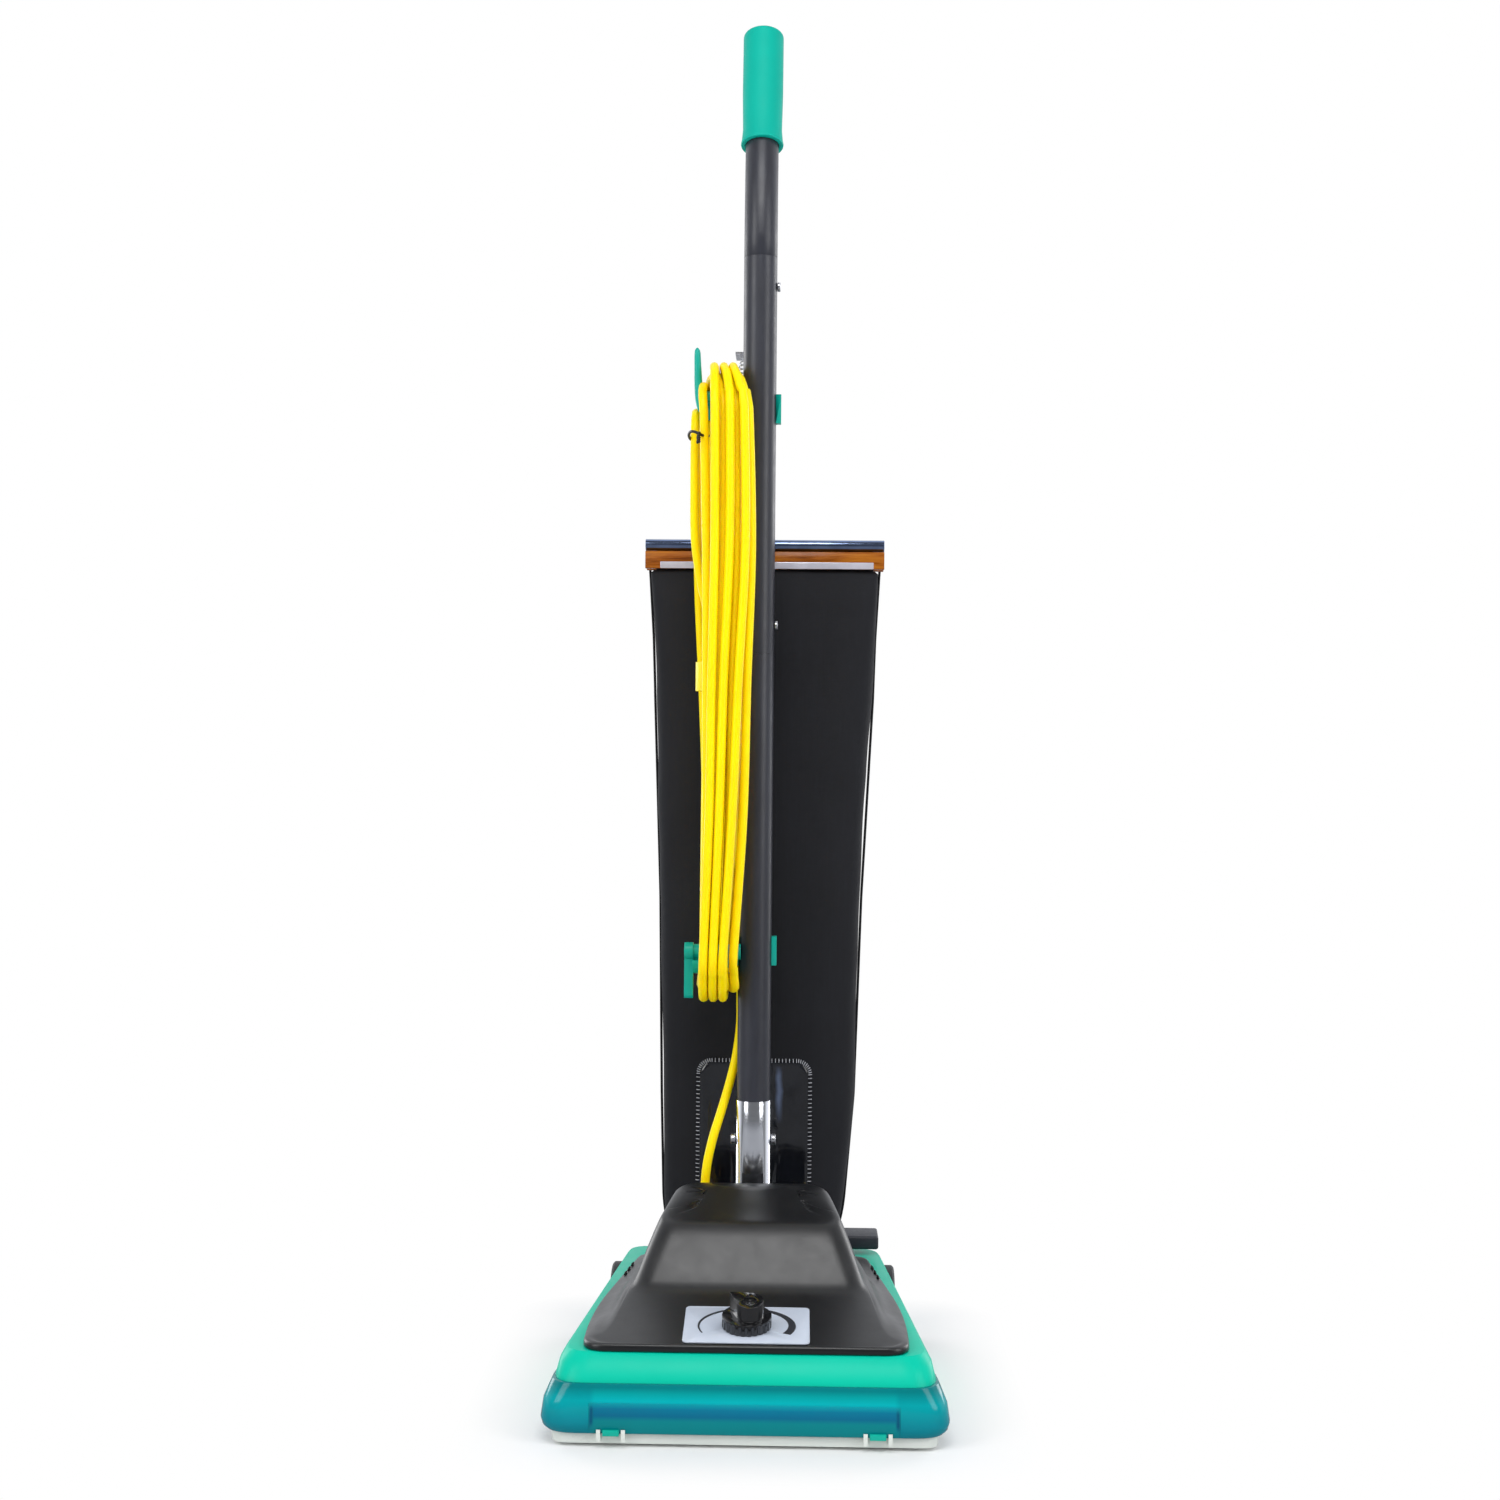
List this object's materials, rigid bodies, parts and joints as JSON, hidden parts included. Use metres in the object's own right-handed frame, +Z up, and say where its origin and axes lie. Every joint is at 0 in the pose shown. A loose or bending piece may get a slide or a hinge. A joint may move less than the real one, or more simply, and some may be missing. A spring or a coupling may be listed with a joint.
{
  "type": "upright vacuum cleaner",
  "caption": "Commercial upright vacuum cleaner with a low wide nozzle, domed motor hood, tall tube handle with wound yellow cord, and a black cloth dust bag.",
  "frame": {"origin": "on the floor, at the bottom centre of the bounding box", "axes": "+Z up along the handle, -Y towards the front of the nozzle, +X to the right seen from the front"},
  "size_m": [0.321, 0.37, 1.208],
  "materials": {
    "housing_green": "moulded plastic, satin gloss",
    "guard_teal": "glossy flexible vinyl, slightly see-through",
    "hood_black": "glossy black moulding",
    "knob_black": "glossy black",
    "plate_blue": "printed aluminium foil label, satin",
    "sole_white": "off-white enamel on pressed steel",
    "steel": "zinc plated steel",
    "dark_steel": "black painted steel",
    "chrome": "polished chrome",
    "tube_grey": "dark blue-grey enamel, semi-gloss",
    "grip_green": "soft vinyl, satin",
    "hook_green": "moulded nylon",
    "bag_cloth": "black woven cloth",
    "window_vinyl": "glossy clear vinyl over dark cloth",
    "clamp_metal": "polished bronze-brown channel",
    "cord_yellow": "yellow vinyl jacket",
    "brass": "dull plated band",
    "copper": "varnished windings",
    "belt_rubber": "flat rubber belt",
    "bristle": "stiff black nylon tufts",
    "wood_core": "varnished beech",
    "tyre_rubber": "grey-black rubber",
    "hub_grey": "dark grey moulding",
    "roller_white": "white nylon",
    "pedal_grey": "dark grey textured plastic",
    "alloy": "die-cast aluminium"
  },
  "bodies": {
    "base": {"sole_plate": "sole_white", "sole_latches": "housing_green", "nozzle_housing": "housing_green", "bumper_guard": "guard_teal", "motor_hood": "hood_black", "dial_plate": "plate_blue", "brush_chamber": "steel", "brush_ends": "hub_grey", "drive_belt": "belt_rubber", "air_duct": "alloy", "motor_case": "alloy", "motor_bearings": "steel", "fan_housing": "alloy", "exhaust_duct": "hub_grey", "collar_clamp": "brass", "pivot_bracket": "dark_steel", "pivot_pin": "steel", "rear_axle": "steel", "cord_gland": "cord_yellow", "switch_body": "hub_grey", "pedal_bracket": "dark_steel", "pedal_pin": "steel", "pedal_spring": "steel", "hood_screws": "dark_steel"},
    "rotor": {"motor_shaft": "steel", "armature": "copper", "impeller": "alloy"},
    "brush_roll": {"brush_core": "wood_core", "bristles": "bristle"},
    "left_wheel": {"left_hub": "hub_grey", "left_tyre": "tyre_rubber"},
    "right_wheel": {"right_hub": "hub_grey", "right_tyre": "tyre_rubber"},
    "wheel_carriage": {"front_carriage": "steel", "front_axle": "steel"},
    "left_front_roller": {"left_roller": "roller_white"},
    "right_front_roller": {"right_roller": "roller_white"},
    "height_dial": {"height_knob": "knob_black", "knob_cam": "knob_black"},
    "handle_release": {"release_pedal": "pedal_grey"},
    "power_switch": {"switch_pedal": "pedal_grey"},
    "handle": {"handle_socket": "chrome", "lower_tube": "tube_grey", "middle_tube": "tube_grey", "top_tube": "tube_grey", "hand_grip": "grip_green", "handle_screws": "steel", "hook_clip": "hook_green", "lower_hook": "hook_green", "spring_bracket": "steel", "bag_spring": "steel", "bag_hanger": "steel", "dust_bag": "bag_cloth", "bag_skirt": "bag_cloth", "bag_window": "window_vinyl", "cord_lead": "cord_yellow", "cord_hank": "cord_yellow", "cord_plug": "cord_yellow"},
    "upper_hook": {"cord_hook": "hook_green"},
    "top_clamp": {"bag_clamp": "clamp_metal"}
  },
  "joints": [
    {"name": "handle_tilt", "type": "hinge", "parent": "base", "child": "handle", "pos_m": [0, 0.07, 0.062], "axis": [-1, 0, 0], "range_deg": [0, 70], "deforming": ["bag_skirt", "bag_window", "cord_lead"]},
    {"name": "motor_spin", "type": "hinge", "parent": "base", "child": "rotor", "pos_m": [0, 0, 0.092], "axis": [1, 0, 0], "continuous": true},
    {"name": "brush_spin", "type": "hinge", "parent": "base", "child": "brush_roll", "pos_m": [0, -0.14, 0.0233], "axis": [1, 0, 0], "continuous": true},
    {"name": "left_wheel_spin", "type": "hinge", "parent": "base", "child": "left_wheel", "pos_m": [-0.1185, 0.11, 0.035], "axis": [-1, 0, 0], "continuous": true},
    {"name": "right_wheel_spin", "type": "hinge", "parent": "base", "child": "right_wheel", "pos_m": [0.1185, 0.11, 0.035], "axis": [-1, 0, 0], "continuous": true},
    {"name": "height_turn", "type": "hinge", "parent": "base", "child": "height_dial", "pos_m": [0, -0.125, 0.07916], "axis": [0, -0.1695, 0.9855], "range_deg": [0, 270]},
    {"name": "carriage_drop", "type": "slide", "parent": "base", "child": "wheel_carriage", "axis": [0, 0, -1], "range_m": [0, 0.01]},
    {"name": "left_roller_spin", "type": "hinge", "parent": "wheel_carriage", "child": "left_front_roller", "pos_m": [-0.047, -0.088, 0.0114], "axis": [-1, 0, 0], "continuous": true},
    {"name": "right_roller_spin", "type": "hinge", "parent": "wheel_carriage", "child": "right_front_roller", "pos_m": [0.047, -0.088, 0.0114], "axis": [-1, 0, 0], "continuous": true},
    {"name": "release_press", "type": "hinge", "parent": "base", "child": "handle_release", "pos_m": [0.049, 0.128, 0.08099], "axis": [-1, 0, 0], "range_deg": [0, 12], "stiffness_Nm_per_rad": 0.8, "springref_deg": -28.65},
    {"name": "switch_press", "type": "hinge", "parent": "base", "child": "power_switch", "pos_m": [-0.08, 0.143, 0.058], "axis": [-1, 0, 0], "range_deg": [0, 10], "stiffness_Nm_per_rad": 0.5, "springref_deg": -17.19},
    {"name": "hook_swivel", "type": "hinge", "parent": "handle", "child": "upper_hook", "pos_m": [-0.04, 0.058, 0.845], "axis": [1, 0, 0], "range_deg": [0, 90]},
    {"name": "clamp_slide", "type": "slide", "parent": "handle", "child": "top_clamp", "axis": [1, 0, 0], "range_m": [0, 0.245]}
  ],
  "couplings": [
    {"joint": "brush_spin", "follows": "motor_spin", "ratio": 0.58333},
    {"joint": "height_turn", "follows": "carriage_drop", "rad_per_m": 471.24}
  ]
}
